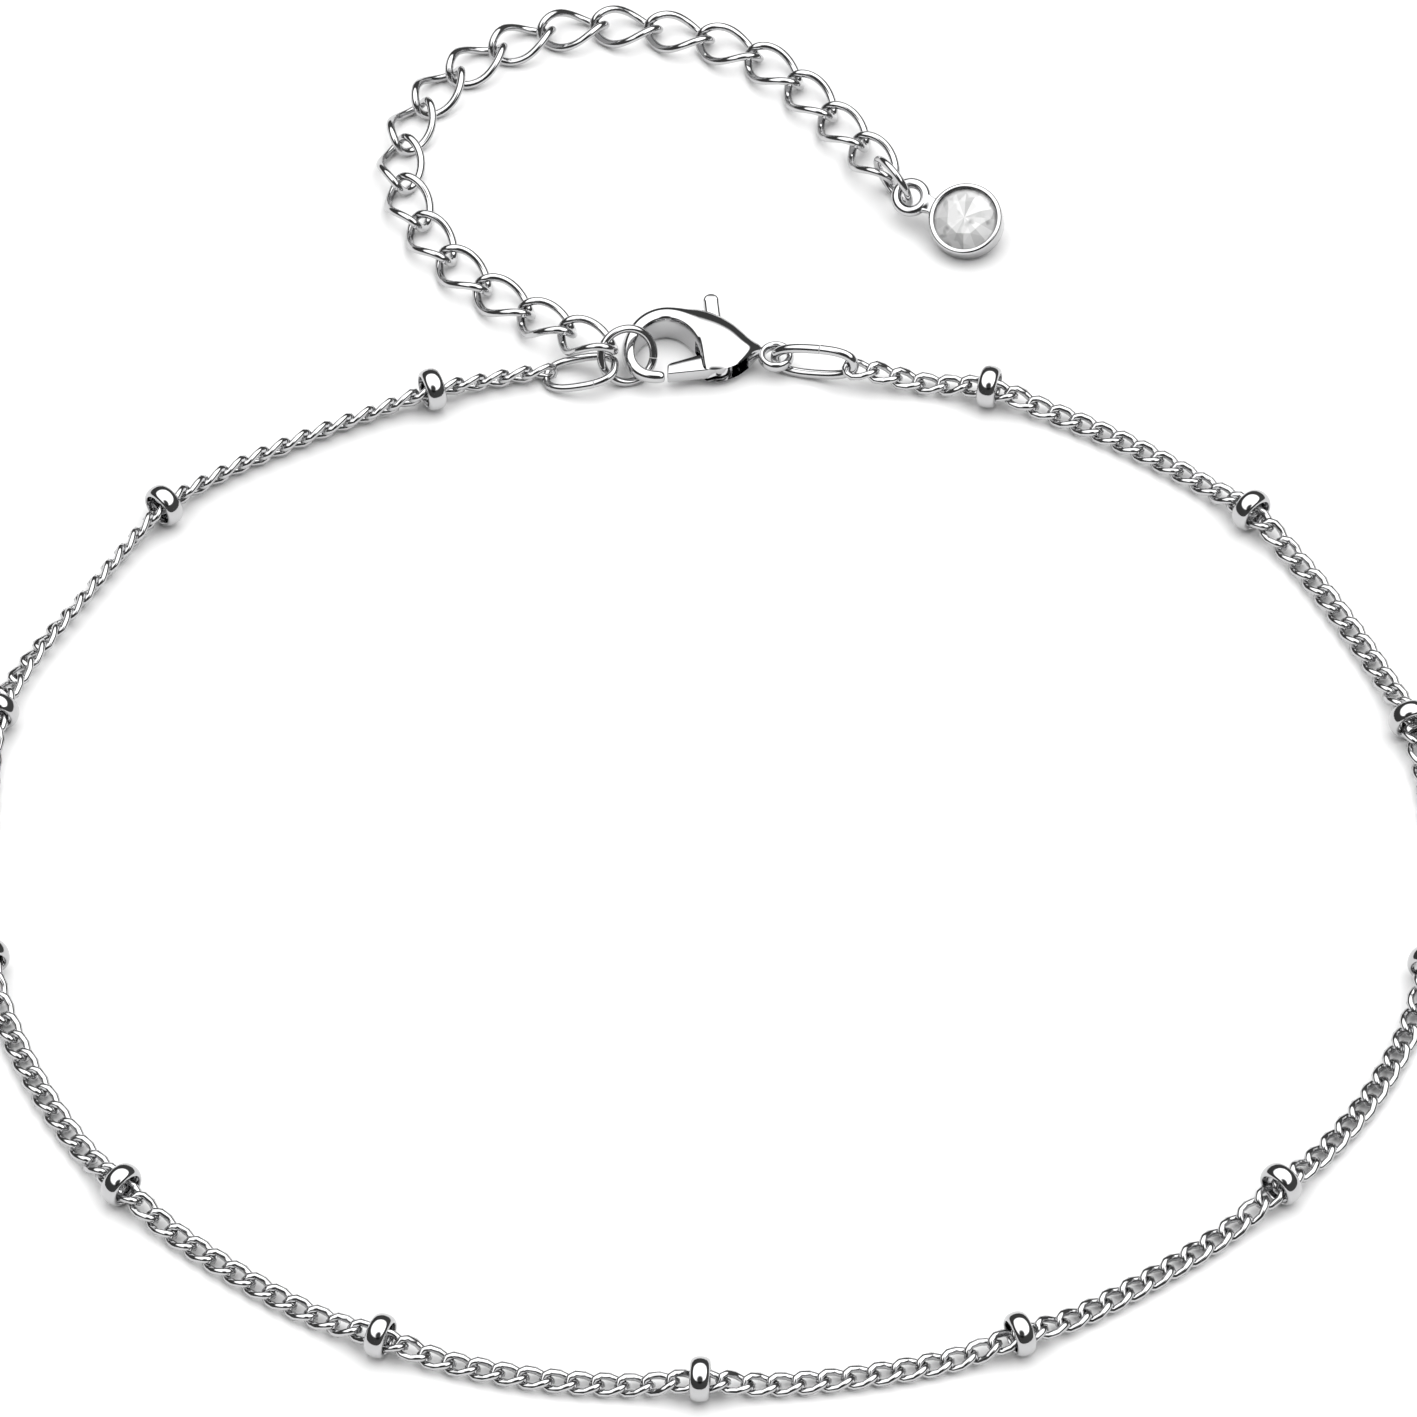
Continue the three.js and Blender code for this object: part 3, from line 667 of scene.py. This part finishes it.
def makeClaspBody():
    bm = bmesh.new()
    loops = []
    for outerX, outerY, innerX, innerY, thick in claspSections:
        verts = bmesh.ops.create_circle(bm, segments=16, radius=1)["verts"]
        outer = claspPoint(outerX, outerY)
        inner = claspPoint(innerX, innerY)
        # crisp along the back and round the opening, full and round along the cheek and the hook
        outerPower = 0.6 if outerY > 0.25 else 1.0
        innerPower = 1.0 if innerX > -0.05 else 0.5
        for vert in verts:
            c, s = vert.co.x, vert.co.y
            power = outerPower if c > 0 else innerPower
            vert.co = inner.lerp(outer, (math.copysign(abs(c) ** power, c) + 1) / 2)
            vert.co.z = math.copysign(abs(s) ** power, s) * thick * claspBuild["thickness"] / 2 * mm
        loops.append(list({edge for vert in verts for edge in vert.link_edges}))
    for before, after in zip(loops, loops[1:]):
        bmesh.ops.bridge_loops(bm, edges=before + after)
    bmesh.ops.edgeloop_fill(bm, edges=loops[0])
    bmesh.ops.edgeloop_fill(bm, edges=loops[-1])
    body = meshPiece("clasp_casting", bm)
    eye = wireLoop(claspBuild["eye"], claspBuild["eye"], claspBuild["eyeWall"],
                   castLoop["steps"], castLoop["sides"])
    stretch = claspBuild["eyeHeight"] / claspBuild["eyeWall"]
    bmesh.ops.scale(eye, verts=eye.verts, vec=(1, 1, stretch))
    eyeAt = claspBuild["length"] / 2 - claspBuild["eye"] / 2 - claspBuild["eyeInset"]
    bmesh.ops.translate(eye, verts=eye.verts, vec=(eyeAt * mm, claspBuild["eyeAside"] * mm, 0))
    pivot = claspPoint(*claspBuild["pivot"])
    slot = plate([claspPoint(*point) for point in slotOutline], claspBuild["slot"])
    pocket = rod(claspBuild["pin"] + 2 * claspBuild["pinGap"],
                 claspBuild["pinLength"] + claspBuild["pocketSpare"], pivot)
    combine(body, [
        (meshPiece("eye", eye), "UNION"),
        (meshPiece("slot", slot), "DIFFERENCE"),
        (meshPiece("pocket", pocket), "DIFFERENCE"),
    ], levels=2)
    body.data.transform(turned(claspBuild["at"], (0, 0, 0)))
    showPiece(body, claspMetal, ["clasp_body"], sharpFrom=40)


def makeClaspLever():
    thickness = claspBuild["slot"] - claspBuild["leverPlay"]
    pivot = claspPoint(*claspBuild["pivot"])
    knobAt = claspPoint(*claspBuild["knob"])
    square = (knobAt - pivot).cross(Vector((0, 0, 1))).normalized()
    aside = square * claspBuild["stemHalf"] * mm
    gate = plate([claspPoint(*point) for point in gateOutline], thickness,
                 bevel=claspBuild["leverEdge"])
    lever = meshPiece("gate_and_thumb_lever", gate)
    stem = plate([pivot - aside, knobAt - aside, knobAt + aside, pivot + aside], thickness,
                 bevel=claspBuild["leverEdge"])
    hub = rod(2 * claspBuild["hub"] * claspBuild["width"], thickness, pivot,
              bevel=claspBuild["hubEdge"])
    knob = rod(claspBuild["knobWidth"], thickness, knobAt, bevel=claspBuild["knobEdge"])
    bore = rod(claspBuild["pin"] + 2 * claspBuild["pinGap"], claspBuild["boreLength"], pivot)
    combine(lever, [
        (meshPiece("hub", hub), "UNION"),
        (meshPiece("stem", stem), "UNION"),
        (meshPiece("knob", knob), "UNION"),
        (meshPiece("bore", bore), "DIFFERENCE"),
    ])
    lever.data.transform(turned(claspBuild["at"], (0, 0, 0)))
    showPiece(lever, claspMetal, ["clasp_lever"], body="lever", sharpFrom=35)


charmBuild = {
    "loop": (11.05, 34.49), "turn": (25.1, -8.6, 153.7), "cup": 4.06, "height": 1.25, "wall": 0.12,
    "floor": 0.2, "lipHole": 3.48, "lip": 0.1, "loopSize": 2.2, "loopWire": 0.6, "reach": 3.39,
    "neck": 1.1, "stone": 3.58, "crown": 0.5, "pavilion": 0.52, "girdle": 0.08, "table": 0.55,
    "corner": 0.1,      # rounding of the cup's lower edge
    "offTable": 0.006,
    "underLip": 0.2,    # depth of the stone's girdle under the cup's lip
}


def charmPlace():
    # turns about Z first, then Y, then X, and then rests the cup's lowest point on the table
    x, y, z = (math.radians(angle) for angle in charmBuild["turn"])
    turn = (Matrix.Rotation(x, 4, "X") @ Matrix.Rotation(y, 4, "Y") @ Matrix.Rotation(z, 4, "Z"))
    loopAt = turn @ (Vector((charmBuild["reach"], 0, charmBuild["height"] / 2)) * mm)
    outside = charmBuild["cup"] / 2
    corner = charmBuild["corner"]
    lowest = 0.0
    for radius, high in ((outside - corner, 0.0), (outside, corner)):
        for i in range(72):
            angle = i * math.pi / 36
            rim = Vector((radius * math.cos(angle), radius * math.sin(angle), high))
            lowest = min(lowest, (turn @ (rim * mm)).z)
    ground = spot(*charmBuild["loop"]) - loopAt
    ground.z = charmBuild["offTable"] * mm - lowest
    return Matrix.Translation(ground) @ turn


def spunProfile(profile, segments):
    bm = bmesh.new()
    verts = [bm.verts.new((x * mm, 0, z * mm)) for x, z in profile]
    edges = [bm.edges.new(pair) for pair in zip(verts, verts[1:])]
    bmesh.ops.spin(bm, geom=verts + edges, axis=(0, 0, 1), steps=segments, angle=2 * math.pi,
                   use_merge=True)
    bmesh.ops.remove_doubles(bm, verts=bm.verts, dist=1e-7)
    return bm


def makeBezel(place):
    outside = charmBuild["cup"] / 2
    inside = outside - charmBuild["wall"]
    top = charmBuild["height"]
    under = top - charmBuild["lip"]
    lip = charmBuild["lipHole"] / 2
    corner = charmBuild["corner"]
    cup = meshPiece("stone_cup", spunProfile([
        (0, 0), (outside - corner, 0), (outside - corner * 0.3, corner * 0.3),
        (outside, corner), (outside, top - 0.16),
        (outside - 0.02, top - 0.08), (outside - 0.07, top - 0.02), (outside - 0.13, top),
        (lip + 0.06, top), (lip, top - 0.05), (lip, under), (inside, under),
        (inside, under - 0.4), (inside * 0.45, charmBuild["floor"]), (0, charmBuild["floor"]),
    ], 64))
    loop = wireLoop(charmBuild["loopSize"], charmBuild["loopSize"], charmBuild["loopWire"],
                    castLoop["steps"], castLoop["sides"])
    bmesh.ops.translate(loop, verts=loop.verts,
                        vec=(charmBuild["reach"] * mm, 0, top / 2 * mm))
    neckEnd = charmBuild["reach"] - (charmBuild["loopSize"] - charmBuild["loopWire"]) / 2
    half = charmBuild["neck"] / 2
    neck = plate([Vector((x, y, 0)) * mm for x, y in (
        (inside, -half), (outside + 0.1, -half * 0.8), (neckEnd, -half), (neckEnd, half),
        (outside + 0.1, half * 0.8), (inside, half))], charmBuild["loopWire"] * 0.8, bevel=0.1)
    bmesh.ops.translate(neck, verts=neck.verts, vec=(0, 0, top / 2 * mm))
    combine(cup, [(meshPiece("neck", neck), "UNION"), (meshPiece("loop", loop), "UNION")])
    cup.data.transform(place)
    showPiece(cup, charmMetal, ["charm_bezel"], sharpFrom=40)


def makeStone(place):
    radius = charmBuild["stone"] / 2
    crown = charmBuild["crown"]
    girdleTop = charmBuild["height"] - charmBuild["lip"] - charmBuild["underLip"]
    deep = charmBuild["pavilion"]
    girdle = charmBuild["girdle"]
    bm = bmesh.new()
    # rings of corners from the table down to the culet: radius, height, count, turn
    for ring, high, count, turn in (
            (radius * charmBuild["table"], crown, 8, 0),
            (radius * 0.78, crown * 0.6, 8, 22.5),
            (radius, 0, 16, 0),
            (radius, -girdle, 16, 0),
            (radius * 0.32, -girdle - deep * 0.72, 8, 22.5),
            (radius * 0.03, -girdle - deep, 8, 0)):
        verts = bmesh.ops.create_circle(bm, segments=count, radius=ring * mm)["verts"]
        bmesh.ops.rotate(bm, verts=verts, matrix=Matrix.Rotation(math.radians(turn), 3, "Z"))
        bmesh.ops.translate(bm, verts=verts, vec=(0, 0, (girdleTop + high) * mm))
    bmesh.ops.delete(bm, geom=bm.edges[:], context="EDGES_FACES")
    bmesh.ops.convex_hull(bm, input=bm.verts[:])
    bmesh.ops.dissolve_limit(bm, angle_limit=math.radians(1), verts=bm.verts, edges=bm.edges)
    stone = meshPiece("cut_stone", bm, place)
    showPiece(stone, clearStone("stone_painted_light", place), ["crystal"])
    stone.data.shade_flat()


makeCamera()
makeSky()
makeTable()
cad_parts["clasp_pin"].data.materials.clear()
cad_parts["clasp_pin"].data.materials.append(pinSteel)
makeChain()
makeBeads()
makeRings()
makeExtender()
makeClaspBody()
makeClaspLever()
print("clasp: body and lever")
place = charmPlace()
makeBezel(place)
makeStone(place)
print("charm: cup and stone")
